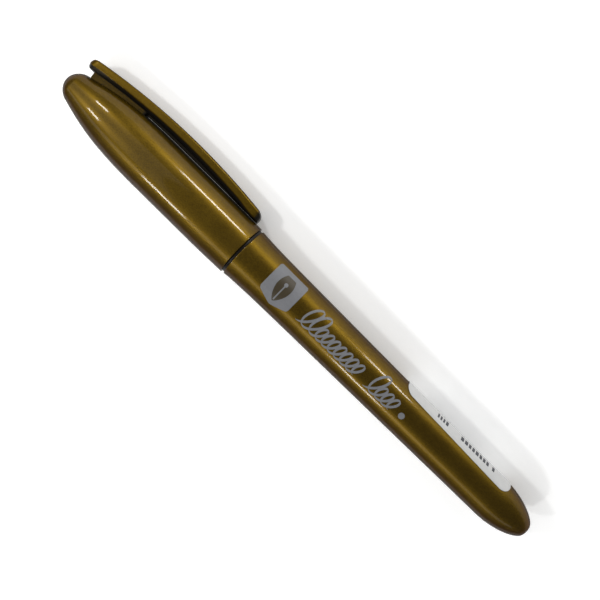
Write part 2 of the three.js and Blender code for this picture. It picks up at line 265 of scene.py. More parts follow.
def nib_fibre():
    """Bonded polyester fibre, soaked in gold ink: fine fibres run along the rod, and the ink is
    wet and darker towards the writing edge."""
    made, tree, shader, where = new_material("bonded_fibre_with_gold_ink")
    soaked = add(tree, "Attribute", attribute_name="soaked").outputs["Fac"]
    # Fibres are 0.02 mm thick; drawn at 0.12 mm across so that they show.
    stretched = add(tree, "Mapping", {"Vector": where, "Scale": (0.04, 1.0, 1.0)})
    fibres = add(tree, "TexNoise", {
        "Vector": stretched, "Scale": scale_for(0.12), "Detail": 3.0, "Roughness": 0.6,
    })
    dry = add(tree, "Mix", {0: fibres, 6: tint("#b9a57a"), 7: tint("#dccda6")}, data_type="RGBA")
    wet = add(tree, "Mix", {0: fibres, 6: tint("#6f5216"), 7: tint("#b18f3a")}, data_type="RGBA")
    colour = add(tree, "Mix", {0: soaked, 6: dry, 7: wet}, data_type="RGBA")
    rough = add(tree, "MapRange", {"Value": soaked, "To Min": 0.9, "To Max": 0.5})
    metal = add(tree, "MapRange", {"Value": soaked, "To Min": 0.0, "To Max": 0.5})
    raised = add(tree, "Bump", {"Height": fibres, "Distance": 0.05 * MM, "Strength": 1.0})
    plug(tree, shader, {
        "Base Color": colour, "Metallic": metal, "Roughness": rough, "Normal": raised,
    })
    return made


def gasket_rubber():
    """Moulded nitrile rubber: near black, dull, with a fine sandy grain."""
    made, tree, shader, where = new_material("nitrile_rubber")
    grain = add(tree, "TexNoise", {"Vector": where, "Scale": scale_for(0.2), "Detail": 2.0})
    colour = add(tree, "Mix", {0: grain, 6: tint("#161618"), 7: tint("#242427")}, data_type="RGBA")
    raised = add(tree, "Bump", {"Height": grain, "Distance": 0.01 * MM, "Strength": 1.0})
    plug(tree, shader, {"Base Color": colour, "Roughness": 0.65, "Normal": raised})
    return made


def stainless_steel():
    """Drawn and polished stainless steel: bright, with faint streaks."""
    made, tree, shader, where = new_material("polished_stainless_steel")
    streaks = add(tree, "TexNoise", {"Vector": where, "Scale": scale_for(0.5), "Detail": 3.0})
    colour = add(tree, "Mix", {0: streaks, 6: tint("#b9bcc0"), 7: tint("#d6d8da")}, data_type="RGBA")
    rough = add(tree, "MapRange", {"Value": streaks, "To Min": 0.12, "To Max": 0.26})
    raised = add(tree, "Bump", {"Height": streaks, "Distance": 0.002 * MM, "Strength": 1.0})
    plug(tree, shader, {
        "Base Color": colour, "Metallic": 1.0, "Roughness": rough, "Normal": raised,
    })
    return made


def label_paper():
    """Coated label paper: white, faintly mottled, with a soft gloss and a fine tooth."""
    made, tree, shader, where = new_material("coated_label_paper")
    mottle = add(tree, "TexNoise", {"Vector": where, "Scale": scale_for(1.2), "Detail": 4.0})
    tooth = add(tree, "TexNoise", {"Vector": where, "Scale": scale_for(0.15), "Detail": 2.0})
    colour = add(tree, "Mix", {0: mottle, 6: tint("#a9a9a8"), 7: tint("#b8b8b6")}, data_type="RGBA")
    rough = add(tree, "MapRange", {"Value": tooth, "To Min": 0.42, "To Max": 0.6})
    raised = add(tree, "Bump", {"Height": tooth, "Distance": 0.004 * MM, "Strength": 1.0})
    plug(tree, shader, {"Base Color": colour, "Roughness": rough, "Normal": raised})
    return made


def pad_ink(name, code, second, roughness, metallic=0.0):
    """Pad-printed ink: a thin flat film, slightly uneven where the pad lifted."""
    made, tree, shader, where = new_material(name)
    patches = add(tree, "TexNoise", {"Vector": where, "Scale": scale_for(0.6), "Detail": 3.0})
    colour = add(tree, "Mix", {0: patches, 6: tint(code), 7: tint(second)}, data_type="RGBA")
    rough = add(tree, "MapRange", {
        "Value": patches, "To Min": roughness - 0.06, "To Max": roughness + 0.08,
    })
    raised = add(tree, "Bump", {"Height": patches, "Distance": 0.003 * MM, "Strength": 1.0})
    plug(tree, shader, {
        "Base Color": colour, "Metallic": metallic, "Roughness": rough, "Normal": raised,
    })
    return made


def pale_surface():
    """Matt white board, faintly lit through from below: the plain surface that the marker lies on."""
    made, tree, shader, where = new_material("white_board")
    tooth = add(tree, "TexNoise", {"Vector": where, "Scale": scale_for(2.0), "Detail": 3.0})
    colour = add(tree, "Mix", {0: tooth, 6: tint("#fafaf9"), 7: tint("#fdfdfc")}, data_type="RGBA")
    plug(tree, shader, {"Base Color": colour, "Roughness": 0.8})
    shader.inputs["Emission Color"].default_value = tint("#ffffff")
    shader.inputs["Emission Strength"].default_value = 0.22
    return made


CAP_LACQUER = gold_lacquer("gold_lacquer_polished", 0.26, 0.06, 0.4)
CLIP_LACQUER = gold_lacquer("gold_lacquer_clip", 0.06, 0.2, 0.4)
BARREL_LACQUER = gold_lacquer("gold_lacquer_satin", 0.22, 0.09, 0.4)
BLACK_PLASTIC = moulded_plastic("black_abs", "#0c0705", "#120c08", 0.45, gloss=0.15)
WHITE_PLASTIC = moulded_plastic("natural_polypropylene", "#dcdad2", "#e9e7e0", 0.42, through=0.25)
NIB_FIBRE = nib_fibre()
RUBBER = gasket_rubber()
STEEL = stainless_steel()
PAPER = label_paper()
SILVER_INK = pad_ink("silver_grey_pad_ink", "#606164", "#6f7073", 0.6, 0.1)
GOLD_INK = pad_ink("gold_brown_pad_ink", "#2a210a", "#33290e", 0.5, 0.1)
LABEL_INK = pad_ink("thermal_print_black", "#2b2b30", "#3d3d42", 0.6)


# ---- surfaces ----

def lofted(name, rings, closed=False, **marks):
    """Makes a closed skin through rings of points, an array of stations by points by x, y, z.
    Each ring is joined to the next. The first and last rings are closed with a fan, or joined to
    each other when closed is true. Each mark is a value for every point, kept as an attribute."""
    stations, points, _ = rings.shape
    grid = np.arange(stations * points).reshape(stations, points)
    if closed:
        grid = np.vstack([grid, grid[:1]])
    here, beside = grid[:-1], np.roll(grid[:-1], -1, axis=1)
    ahead, beyond = grid[1:], np.roll(grid[1:], -1, axis=1)
    quads = np.stack([here, ahead, beyond, beside], axis=-1).reshape(-1, 4)
    vertices = rings.reshape(-1, 3)
    faces = quads.tolist()
    corners = quads[:, [0, 1, 2, 0, 2, 3]].reshape(-1, 3)
    if not closed:
        middles = np.stack([rings[0].mean(axis=0), rings[-1].mean(axis=0)])
        first, last = len(vertices), len(vertices) + 1
        vertices = np.vstack([vertices, middles])
        start = np.column_stack([np.roll(grid[0], -1), np.full(points, first), grid[0]])
        end = np.column_stack([grid[-1], np.full(points, last), np.roll(grid[-1], -1)])
        faces += start.tolist() + end.tolist()
        corners = np.vstack([corners, start, end])
    a, b, c = (vertices[corners[:, i]] for i in range(3))
    if np.einsum("ij,ij->i", a, np.cross(b, c)).sum() < 0:
        faces = [face[::-1] for face in faces]
    mesh = bpy.data.meshes.new(name)
    mesh.from_pydata(vertices.tolist(), [], faces)
    for mark, values in marks.items():
        values = np.broadcast_to(values, (stations, points)).reshape(-1)
        if not closed:
            values = np.concatenate([values, [values[0], values[-1]]])
        layer = mesh.attributes.new(mark, "FLOAT", "POINT")
        layer.data.foreach_set("value", values.astype(np.float32))
    mesh.polygons.foreach_set("use_smooth", np.ones(len(faces), bool))
    mesh.validate()
    made = bpy.data.objects.new(name, mesh)
    bpy.context.scene.collection.objects.link(made)
    return made


def finished(piece, body, slot, material, *nodes):
    """Gives a piece its material, the body it rides on and the nodes it stands for. The slot is not
    used.
    """
    piece.data.materials.append(material)
    if nodes:
        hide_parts(*nodes)
    if body:
        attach(piece, body)


def towards(corner, other, size):
    """Goes from each corner towards another by size, or by just under half the side where that is
    shorter."""
    side = np.linalg.norm(other - corner, axis=-1, keepdims=True)
    return corner + (other - corner) * np.minimum(size / np.maximum(side, 1e-9), 0.49)


def parabola(start, pull, end, t):
    """Gives the points at t on the parabola from start to end that leans on pull."""
    return (1 - t) ** 2 * start + 2 * t * (1 - t) * pull + t ** 2 * end


def rounded(corners, closed=False, steps=6):
    """Turns corners of [x, radius, rounding] into a smooth outline. Each corner becomes a parabola
    from rounding before it to rounding after it."""
    corners = np.array(corners, float)
    before = np.roll(corners, 1, axis=0)[:, :2]
    after = np.roll(corners, -1, axis=0)[:, :2]
    middle = corners[:, :2]
    size = corners[:, 2:]
    start = towards(middle, before, size)
    end = towards(middle, after, size)
    if not closed:
        start[0] = end[0] = middle[0]
        start[-1] = end[-1] = middle[-1]
    t = np.linspace(0, 1, steps)[:, None, None]
    line = parabola(start, middle, end, t)
    return thinned(line.transpose(1, 0, 2).reshape(-1, 2))


def thinned(line):
    """Drops points that repeat the one before."""
    step = np.linalg.norm(np.diff(line, axis=0), axis=1)
    return line[np.concatenate([[True], step > 1e-4])]


def curve(first, pull_first, pull_last, last, steps):
    """Gives a cubic Bezier between two points."""
    t = np.linspace(0, 1, steps)[:, None]
    ends = (1 - t) ** 3 * np.array(first) + t ** 3 * np.array(last)
    pulls = (1 - t) * np.array(pull_first) + t * np.array(pull_last)
    return ends + 3 * t * (1 - t) * pulls


def turned(name, outline, closed=False, flats=128, **marks):
    """Revolves an outline of [x, radius] around the marker's axis."""
    angle = np.linspace(0, TAU, flats, endpoint=False)
    x, radius = outline[:, :1], np.maximum(outline[:, 1:], 1e-3)
    if closed and np.linalg.norm(outline[0] - outline[-1]) < 1e-4:
        x, radius = x[:-1], radius[:-1]
    return lofted(name, around(x, radius, angle), closed, **marks)


def smooth(value, low, high):
    """Rises softly from 0 at low to 1 at high, by a cubic that is level at both ends."""
    t = np.clip((value - low) / (high - low), 0, 1)
    return t * t * (3 - 2 * t)


# ---- barrel ----

TAIL_ROUND = 10.0
TAIL_FLAT = 1.7
TAIL_RADIUS = 4.87
TAPER = 0.0116
FLARE_REACH = 4.0


def barrel_radius(x):
    """Barrel radius: a straight taper, with a flare at the mouth that dies away exponentially."""
    straight = TAIL_RADIUS + TAPER * (x - TAIL_ROUND)
    flare = MOUTH_RADIUS - TAIL_RADIUS - TAPER * (MOUTH - TAIL_ROUND)
    return straight + flare * np.exp((x - MOUTH) / FLARE_REACH)


def barrel():
    """One moulding, closed at the tail: a flat, a rounded tail, the taper, a rounded lip at the
    mouth, then the bore."""
    join = barrel_radius(TAIL_ROUND)
    bore = MOUTH_RADIUS - 1.5
    tail = curve([0, TAIL_FLAT], [0.5, TAIL_FLAT + 0.9],
                 [4.3, TAIL_RADIUS - 0.07], [TAIL_ROUND, join], 40)
    x = np.linspace(TAIL_ROUND, MOUTH - 0.35, 150)[1:]
    lip = curve([MOUTH - 0.35, barrel_radius(MOUTH - 0.35)], [MOUTH - 0.05, MOUTH_RADIUS - 0.01],
                [MOUTH, MOUTH_RADIUS - 0.03], [MOUTH, MOUTH_RADIUS - 0.3], 8)
    flat = np.array([
        [0.0, 0.0], [0.0, TAIL_FLAT * 0.5], [0.0, TAIL_FLAT - 0.2], [0.04, TAIL_FLAT - 0.05],
    ])
    inside = rounded([
        [MOUTH, MOUTH_RADIUS - 0.3, 0], [MOUTH, bore, 0.2], [SPIGOT_END - 1, bore, 0.3],
        [SPIGOT_END - 2, TAIL_RADIUS - 1, 0.3], [8, TAIL_RADIUS - 1, 1.5], [5, TAIL_RADIUS - 2.2, 1],
        [3.5, 0, 0],
    ])
    outside = np.vstack([flat, tail, np.column_stack([x, barrel_radius(x)]), lip[1:]])
    outline = np.vstack([outside, inside[1:]])
    inner = np.arange(len(outline)) >= len(outside)
    # The lip's end face, in the seam, is darkened most of the way towards black.
    lip_share = smooth(outline[:, 0], MOUTH - 0.12, MOUTH + 0.12)
    cover = np.where(inner, 0.0, 1 - 0.75 * lip_share)
    made = turned("barrel_moulding", outline, flats=176, cover=cover[:, None])
    finished(made, "barrel", "gold_lacquer", BARREL_LACQUER, "barrel")


# ---- films on the barrel: print and paper ----

def film(name, edge_a, edge_b, lift, thickness, material, slot, *nodes, lines=3):
    """Lays a thin closed film on the barrel. Its two edges are arrays of [x, arc], in millimetres
    along the marker and around it from the viewer's direction towards the clip."""
    share = np.linspace(0, 1, lines)[None, :, None]
    strip = edge_a[:, None] * (1 - share) + edge_b[:, None] * share
    x, arc = strip[..., 0], strip[..., 1]
    base = barrel_radius(x)
    angle = np.pi / 2 - arc / base
    under = around(x, base + lift, angle)
    over = around(x, base + lift + thickness, angle)
    made = lofted(name, np.concatenate([over, under[:, ::-1]], axis=1))
    made.data.polygons.foreach_set("use_smooth", np.zeros(len(made.data.polygons), bool))
    finished(made, "barrel", slot, material, *nodes)


def block(x, low, high, corner, steps=8):
    """Gives the two edges of a rectangle between two places and two arcs, with quarter circles for
    corners."""
    x_start, x_end = x
    turn = np.linspace(0, np.pi / 2, steps)
    inset = corner * (1 - np.cos(turn))
    drop = corner * (1 - np.sin(turn))
    places = np.concatenate([x_start + inset, (x_end - inset)[::-1]])
    drops = np.concatenate([drop, drop[::-1]])
    return np.column_stack([places, low + drops]), np.column_stack([places, high - drops])


BADGE_MIDDLE = 72.1
BADGE_HALF = 3.9
BADGE_LOW = -2.6
BADGE_POINT = 1.6
BADGE_HIGH = 4.65
PRINT_THICK = 0.02


def badge():
    """A plain silver shield with a pen-nib picture on it in gold-brown: body, slit and hole. The
    shield's lower edge is two slopes that meet in a soft point, and the nib's half width follows
    a power of a sine of its height."""
    across_plate = np.linspace(-1, 1, 61)
    worn = 0.5 * (np.maximum(np.abs(across_plate) - 0.9, 0) / 0.1) ** 2
    x = BADGE_MIDDLE + BADGE_HALF * across_plate
    low = BADGE_LOW - BADGE_POINT * (1 - np.sqrt(across_plate ** 2 + 0.004)) + worn
    high = BADGE_HIGH - worn
    film("badge_plate", np.column_stack([x, low]), np.column_stack([x, high]), 0.01, PRINT_THICK,
         SILVER_INK, "silver_print", lines=41)
    height = np.linspace(0, 1, 40)
    arc = BADGE_LOW - 0.4 + height * 6.4
    belly = 1.75 * np.sin(np.pi * np.clip(height * 0.82, 0, 1)) ** 0.8 + 0.03
    shape = [np.column_stack([BADGE_MIDDLE + side * belly, arc]) for side in (-1, 1)]
    film("badge_nib", *shape, 0.03, PRINT_THICK, GOLD_INK, "gold_print", lines=7)
    slit = [np.column_stack([np.full(12, BADGE_MIDDLE + side * 0.15), np.linspace(BADGE_LOW, 1.2, 12)])
            for side in (-1, 1)]
    film("badge_slit", *slit, 0.05, PRINT_THICK, SILVER_INK, "silver_print")
    disc("badge_hole", BADGE_MIDDLE, 1.4, 0.45, 0.05)


def disc(name, x, arc, radius, lift):
    """Prints a round silver dot. Its edges are the two halves of a circle."""
    turn = np.linspace(0.05, np.pi - 0.05, 24)
    edges = [np.column_stack([x + side * radius * np.sin(turn), arc - radius * np.cos(turn)])
             for side in (-1, 1)]
    film(name, *edges, lift, PRINT_THICK, SILVER_INK, "silver_print")


BASELINE = -2.2
TALL = 5.3
SHORT = 3.0
SLANT = 0.42
PEN_ANGLE = 35
HAIRLINE = 0.1
BROAD_EXTRA = 0.17


def flourish(name, start, turns):
    """A penmanship drill in silver, a coil of slanted ovals. Each turn is given by its length, its
    height and how far it swings back. The stroke is a broad edge held at a fixed angle, so it
    swells and thins as it turns."""
    u = np.linspace(0, 1, 72, endpoint=False)
    pieces = []
    for length, height, swing in turns:
        rise = height * (1 - np.cos(TAU * u)) / 2
        forward = start + length * u + swing * np.sin(TAU * u) + SLANT * rise
        pieces.append(np.column_stack([forward, BASELINE + rise]))
        start += length
    line = np.vstack(pieces)
    heading = np.gradient(line, axis=0)
    heading /= np.linalg.norm(heading, axis=1, keepdims=True)
    beside = np.column_stack([-heading[:, 1], heading[:, 0]])
    pen = np.array([-np.cos(np.radians(PEN_ANGLE)), np.sin(np.radians(PEN_ANGLE))])
    swell = np.abs(beside @ pen)[:, None]
    half = HAIRLINE + BROAD_EXTRA * swell
    ends = np.minimum(np.arange(len(line)), np.arange(len(line))[::-1])[:, None]
    half = half * (0.3 + 0.7 * smooth(ends, 0, 9))
    line[:, 0] = MOUTH - line[:, 0]
    beside[:, 0] *= -1
    film(name, line - beside * half, line + beside * half, 0.012, 0.018, SILVER_INK, "silver_print")


def script():
    """The line of silver penmanship on the barrel: two coils of ovals and a dot."""
    tall, short = (2.2, TALL, 1.5), (1.75, SHORT, 1.05)
    flourish("flourish_long", MOUTH - 66.0, [tall, tall, *[short] * 7])
    flourish("flourish_short", MOUTH - 46.6, [tall, *[short] * 3])
    disc("flourish_dot", 36.4, -1.1, 0.7, 0.012)


LABEL_LOW = 2.5
LABEL_SKEW = 0.04
LABEL_WIDTH = 12.0
LABEL_CORNER = 2.2
BARS_FROM, BARS_TO = 8.5, 24.0
BARS_LOW, BARS_HIGH = 5.0, 10.8
DASH_GROUPS = ((4.9, 5.4), (6.6, 14.0), (18.5, 21.2))
DASHES_LOW, DASHES_HIGH = 2.1, 3.5


def label():
    """The paper barcode label, stuck a little askew round the barrel's side, with plain bars and
    dashes. They stand in rows, with widths drawn by chance."""
    ends = (LABEL_START + 0.1, LABEL_END - 0.1)
    edges = block(ends, LABEL_LOW, LABEL_LOW + LABEL_WIDTH, LABEL_CORNER, 12)
    for edge in edges:
        edge[:, 1] += LABEL_SKEW * (edge[:, 0] - LABEL_START)
    film("paper_label", *edges, 0.02, 0.09, PAPER, "label_paper", "barcode_label", lines=60)
    made = []
    random = np.random.default_rng(4)
    bar_x = LABEL_START + BARS_FROM
    while bar_x < LABEL_START + BARS_TO:
        width = random.choice([0.17, 0.34, 0.51])
        bar_ends = (bar_x, bar_x + width)
        made.append(block(bar_ends, LABEL_LOW + BARS_LOW, LABEL_LOW + BARS_HIGH, 0.02, 2))
        bar_x += width + random.choice([0.2, 0.36])
    for group_x, group_end in DASH_GROUPS:
        dash_x = LABEL_START + group_x
        while dash_x < LABEL_START + group_end:
            width = random.choice([0.45, 0.65, 0.8])
            dash_ends = (dash_x, dash_x + width)
            made.append(block(dash_ends, LABEL_LOW + DASHES_LOW, LABEL_LOW + DASHES_HIGH, 0.1, 3))
            dash_x += width + 0.35
    for number, edges in enumerate(made):
        film(f"label_mark_{number:02d}", *edges, 0.11, 0.01, LABEL_INK, "label_print", lines=16)


# ---- section, nib and valve ----

def front_section():
    """Black section: a spigot in the barrel, the cap's collar with its snap bead, and the cone, as
    one closed outline turned around the axis."""
    spigot = MOUTH_RADIUS - 1.55
    cone = COLLAR_RADIUS - 0.45
    nose = NIB_RADIUS + 0.9
    bore = NIB_RADIUS + 0.2
    collar_end = MOUTH + 14
    ring = across("front_section")
    outline = rounded([
        [SPIGOT_END, spigot - 1.3, 0.2], [SPIGOT_END, spigot - 0.3, 0.2],
        [SPIGOT_END + 0.8, spigot, 0.3], [MOUTH + 0.03, spigot, 0.05],
        [MOUTH + 0.03, ring, 0.05], [RIM - 0.08, ring, 0.05], [RIM - 0.08, COLLAR_RADIUS, 0.1],
        [collar_end - 4, COLLAR_RADIUS, 0.4], [collar_end - 3.2, COLLAR_RADIUS + 0.07, 0.4],
        [collar_end - 2.4, COLLAR_RADIUS, 0.4], [collar_end, COLLAR_RADIUS, 0.3],
        [collar_end + 0.5, cone, 0.3], [SECTION_NOSE - 0.5, nose, 0.3], [SECTION_NOSE, nose - 0.4, 0.2],
        [SECTION_NOSE, bore, 0.15], [MOUTH + 5, bore, 0.1], [MOUTH + 5, spigot - 1.3, 0.1],
    ], closed=True, steps=8)
    made = turned("section_moulding", outline, closed=True)
    finished(made, "barrel", "black_plastic", BLACK_PLASTIC, "front_section")


NIB_SLANT = 30
NIB_EDGE = 0.25
NIB_FACE = 5.2
NIB_ROUND = 0.4


def nib():
    """Chisel nib: a round rod cut by two slanting faces to a thin edge, which runs askew. Each
    point's distance from the axis is the softened smaller of the rod's radius and the face's."""
    slant = np.tan(np.radians(NIB_SLANT)) * NIB_RADIUS
    rise = (NIB_RADIUS + 0.1 - NIB_EDGE) / NIB_FACE
    before_edge = np.concatenate([
        [NIB_TIP - NIB_BACK, NIB_TIP - NIB_BACK - 0.1, NIB_TIP - NIB_BACK - 0.3],
        np.linspace(28, 9, 30), np.linspace(8.8, NIB_ROUND, 60),
        NIB_ROUND * np.cos(np.linspace(0.3, np.pi / 2, 8)),
    ])[:, None]
    angle = np.linspace(0, TAU, 128, endpoint=False)[None]
    askew = 1 - smooth(before_edge, 6, 14)
    face = NIB_EDGE + before_edge * rise
    flat = face / np.maximum(np.abs(np.cos(angle)), 1e-3)
    radius = (NIB_RADIUS ** -12.0 + flat ** -12.0) ** (-1 / 12)
    x = NIB_TIP - before_edge - askew * slant * (1 - radius * np.sin(angle) / NIB_RADIUS)
    edge_round = np.sqrt(1 - np.clip(1 - before_edge / NIB_ROUND, 0, 1) ** 2)
    radius = radius * (0.75 + 0.25 * edge_round)
    radius[0] *= 0.86
    radius[1] *= 0.95
    soaked = 0.35 + 0.65 * smooth(NIB_TIP - before_edge, SECTION_NOSE - 2, SECTION_NOSE + 3)
    made = lofted("chisel_nib", around(x, radius, angle), soaked=soaked)
    finished(made, "nib", "nib_fibre", NIB_FIBRE, "nib")


def valve():
    """The valve's turned pieces: its white housing, stem and cage, and the rubber gasket."""
    low, high = reach("valve_housing")
    outer = across("valve_housing")
    bore = outer - 0.6
    seat_low, seat_high = reach("valve_gasket")[1] + 0.05, MOUTH + 0.2
    housing = rounded([
        [low, bore - 0.45, 0.1], [low, outer, 0.2], [high, outer, 0.2], [high, bore, 0.15],
        [seat_high, bore, 0.2], [seat_high, 1.35, 0.15], [seat_low, 1.35, 0.1],
        [seat_low, bore - 0.05, 0.1], [low + 0.55, bore - 0.05, 0.1], [low + 0.55, bore - 0.45, 0.1],
    ], closed=True)
    finished(turned("valve_housing_moulding", housing, True), "barrel", "white_plastic", WHITE_PLASTIC,
             "valve_housing")
    for node, inner, slot, material in (
        ("valve_gasket", 1.25, "gasket_rubber", RUBBER),
        ("valve_cage", 1.0, "white_plastic", WHITE_PLASTIC),
    ):
        low, high = reach(node)
        outer = across(node)
        ring = rounded([
            [low, inner, 0.15], [low, outer, 0.15], [high, outer, 0.15], [high, inner, 0.15],
        ], closed=True)
        finished(turned(node + "_ring", ring, True), "barrel", slot, material, node)
    low, high = reach("valve_stem")
    head = across("valve_stem")
    stem = rounded([
        [low, 0, 0], [low, 0.6, 0.15], [low + 2, 0.6, 0.1], [low + 2, head, 0.2], [low + 4, head, 0.3],
        [low + 4.9, 1.2, 0.2], [low + 4.9, 0.9, 0.1], [high, 0.9, 0.15], [high, 0, 0],
    ])
    finished(turned("valve_stem_moulding", stem), "valve_stem", "white_plastic", WHITE_PLASTIC,
             "valve_stem")


def valve_spring():
    """The return spring: a round wire carried along a helix, with its end coils lying closer."""
    low, high = reach("valve_spring")
    wire = 0.2
    coil = 1.45
    turns = 6
    t = np.linspace(0, 1, turns * 60)
    angle = TAU * turns * t
    x = low + wire + (high - low - 2 * wire) * (0.75 * t + 0.25 * smooth(t, 0, 1))
    centre = np.stack([x, coil * np.cos(angle), coil * np.sin(angle)], axis=-1)
    heading = np.gradient(centre, axis=0)
    heading /= np.linalg.norm(heading, axis=1, keepdims=True)
    outward = np.stack([np.zeros_like(t), np.cos(angle), np.sin(angle)], axis=-1)
    beside = np.cross(heading, outward)
    turn = np.linspace(0, TAU, 16, endpoint=False)[None, :, None]
    ring = centre[:, None] + wire * (np.cos(turn) * outward[:, None] + np.sin(turn) * beside[:, None])
    made = lofted("valve_spring_wire", place(ring[..., 0], ring[..., 1], ring[..., 2]))
    finished(made, "barrel", "steel", STEEL, "valve_spring")
    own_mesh(made)


def mixing_ball():
    """The loose steel ball: circles of latitude from pole to pole."""
    low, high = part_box("mixing_ball")
    centre = np.array((low + high) / 2)
    radius = (high.x - low.x) / 2
    tilt = np.linspace(0.01, np.pi - 0.01, 49)[:, None]
    turn = np.linspace(0, TAU, 96, endpoint=False)[None]
    around_pole = np.sin(tilt)
    point = np.broadcast_arrays(np.cos(tilt), around_pole * np.cos(turn), around_pole * np.sin(turn))
    made = lofted("mixing_ball_steel", centre + radius * np.stack(point, axis=-1))
    finished(made, "mixing_ball", "steel", STEEL, "mixing_ball")


# ---- cap ----

FOOT_FRONT = 3.7
FOOT_END = 17.6
FOOT_HALF = 1.4
CAP_NOSE = curve([0, 0], [0, 1.3], [0.95, 2.85], [2.6, 3.45], 28)
CAP_SWELL = curve([2.6, 3.45], [9, 5.3], [14, CAP_RADIUS], [26, CAP_RADIUS], 200)
CAP_BORE = CAP_RADIUS - 1.2


def cap_radius(depth):
    """Cap radius behind its nose: a swelling cone, the straight body, then a slight draft."""
    rim = NOSE - RIM
    line = np.vstack([CAP_NOSE, CAP_SWELL, [[rim - 7.6, CAP_RADIUS - 0.02], [rim, CAP_RADIUS - 0.18]]])
    return np.interp(depth, line[:, 0], line[:, 1])


def foot_distance(x, beside):
    """Distance outside the clip foot's outline on the cap, a rectangle with round corners."""
    corner = 0.6
    middle = NOSE - (FOOT_FRONT + FOOT_END) / 2
    past_end = np.abs(x - middle) - (FOOT_END - FOOT_FRONT) / 2 + corner
    past_side = np.abs(beside) - FOOT_HALF + corner
    return np.hypot(np.maximum(past_end, 0), np.maximum(past_side, 0)) - corner


def cap_shell():
    """Cap shell: dome, swelling cone, body and rim, with a fine joint sunk around the clip's foot.
    Each ring has the outline's radius, less 0.4 mm inside the foot's outline, easing back over
    half a millimetre beyond it. Rings and points are closer together where that joint runs.
    Painted shade makes a black strip on the cap under the clip and darkens the joint around the
    foot; inside the cap the bare black plastic shows."""
    length = NOSE - RIM
    fine = 0.47
    depth = np.concatenate([
        np.linspace(2.6, 4.6, 40), np.linspace(4.6, 16.9, 56)[1:], np.linspace(16.9, 18.5, 28)[1:],
        np.linspace(18.5, length - 0.4, 90)[1:],
    ])
    lip = rounded([
        [length - 0.4, cap_radius(length - 0.4), 0], [length, cap_radius(length), 0.3],
        [length, CAP_BORE + 0.1, 0.25], [length - 0.8, CAP_BORE, 0.3], [24, CAP_BORE, 1.0],
        [22, CAP_BORE - 0.3, 1.0], [13.2, 4.15, 1.0], [7.5, 2.4, 1.0], [5, 0, 0],
    ], steps=10)
    outside = np.vstack([CAP_NOSE[1:-1], np.column_stack([depth, cap_radius(depth)])])
    outline = np.vstack([outside, lip[1:]])
    angle = np.concatenate([
        np.linspace(-fine, fine, 110, endpoint=False),
        np.linspace(fine, TAU - fine, 140, endpoint=False),
    ])[None]
    x = NOSE - outline[:, :1]
    radius = np.maximum(outline[:, 1:], 1e-3) * np.ones_like(angle)
    outer = np.arange(len(outline))[:, None] < len(outside)
    facing = outer & (np.cos(angle) > 0)
    beside = radius * np.sin(angle)
    away = foot_distance(x, beside)
    radius -= np.where(facing, 0.4 * (1 - smooth(away, 0.1, 0.55)), 0)
    strip = smooth(outline[:, :1], 16.8, 18.4) * (1 - smooth(outline[:, :1], 48.8, 50.4))
    # Painted shade: a black strip on the cap under the clip, where its shadow falls.
    shaded = (1 - smooth(np.abs(beside), 2.0, 2.9)) * strip
    # Painted shade: dark in and beside the joint around the clip's foot.
    cover = np.where(facing, np.minimum(1 - shaded, smooth(away, 0.3, 0.85)), 1.0)
    inside = smooth(outline[:, :1], length - 0.1, length) * (outline[:, 1:] < cap_radius(length) - 0.2)
    cover = np.where(outer, cover, 1 - np.maximum(inside, outline[:, 1:] < CAP_BORE + 0.3))
    made = lofted("cap_shell_moulding", around(x, radius, angle), cover=cover)
    finished(made, "cap", "gold_lacquer", CAP_LACQUER, "cap_shell")


def inner_cap():
    """The white liner that seals over the section's cone: a thin cup with a seating flange, as one
    outline turned around the axis."""
    low, high = reach("inner_cap")
    flange = across("inner_cap")
    cone = COLLAR_RADIUS - 0.45 + 0.24
    tip = NIB_RADIUS + 0.9 + 0.24
    outline = rounded([
        [low, cone, 0.15], [low, flange, 0.2], [low + 3, flange, 0.2], [low + 3, cone + 0.45, 0.3],
        [SECTION_NOSE, tip + 0.6, 1], [high - 0.8, tip + 0.4, 0.6], [high, tip - 0.4, 0.4],
        [high, 0, 0],
    ])
    inside = rounded([
        [high - 0.6, 0, 0], [high - 0.6, tip - 0.8, 0.4], [high - 1.4, tip - 0.2, 0.4],
        [SECTION_NOSE, tip, 1], [low, cone, 0.15],
    ])
    made = turned("inner_cap_liner", np.vstack([inside, outline[1:]]))
    finished(made, "cap", "white_plastic", WHITE_PLASTIC, "inner_cap")


# ---- clip ----

CLIP_CREST = CAP_RADIUS + 3.41
CLIP_ARC = 162.0
CLIP_CREST_X = RIM + 21.8
CLIP_HALF = 2.48
CLIP_THICK = 2.55
CLIP_START = 1.4
CLIP_TIP = 50.12
CLIP_TIP_RISE = 0.9


def clip_back(x):
    """Height of the clip's back over the axis: an arc over its crest."""
    return CLIP_CREST - CLIP_ARC + np.sqrt(CLIP_ARC ** 2 - (x - CLIP_CREST_X) ** 2)


def eased(value):
    """A quarter circle from 0 to 1, for rounding an end."""
    return np.sqrt(1 - (1 - np.clip(value, 0, 1)) ** 2)


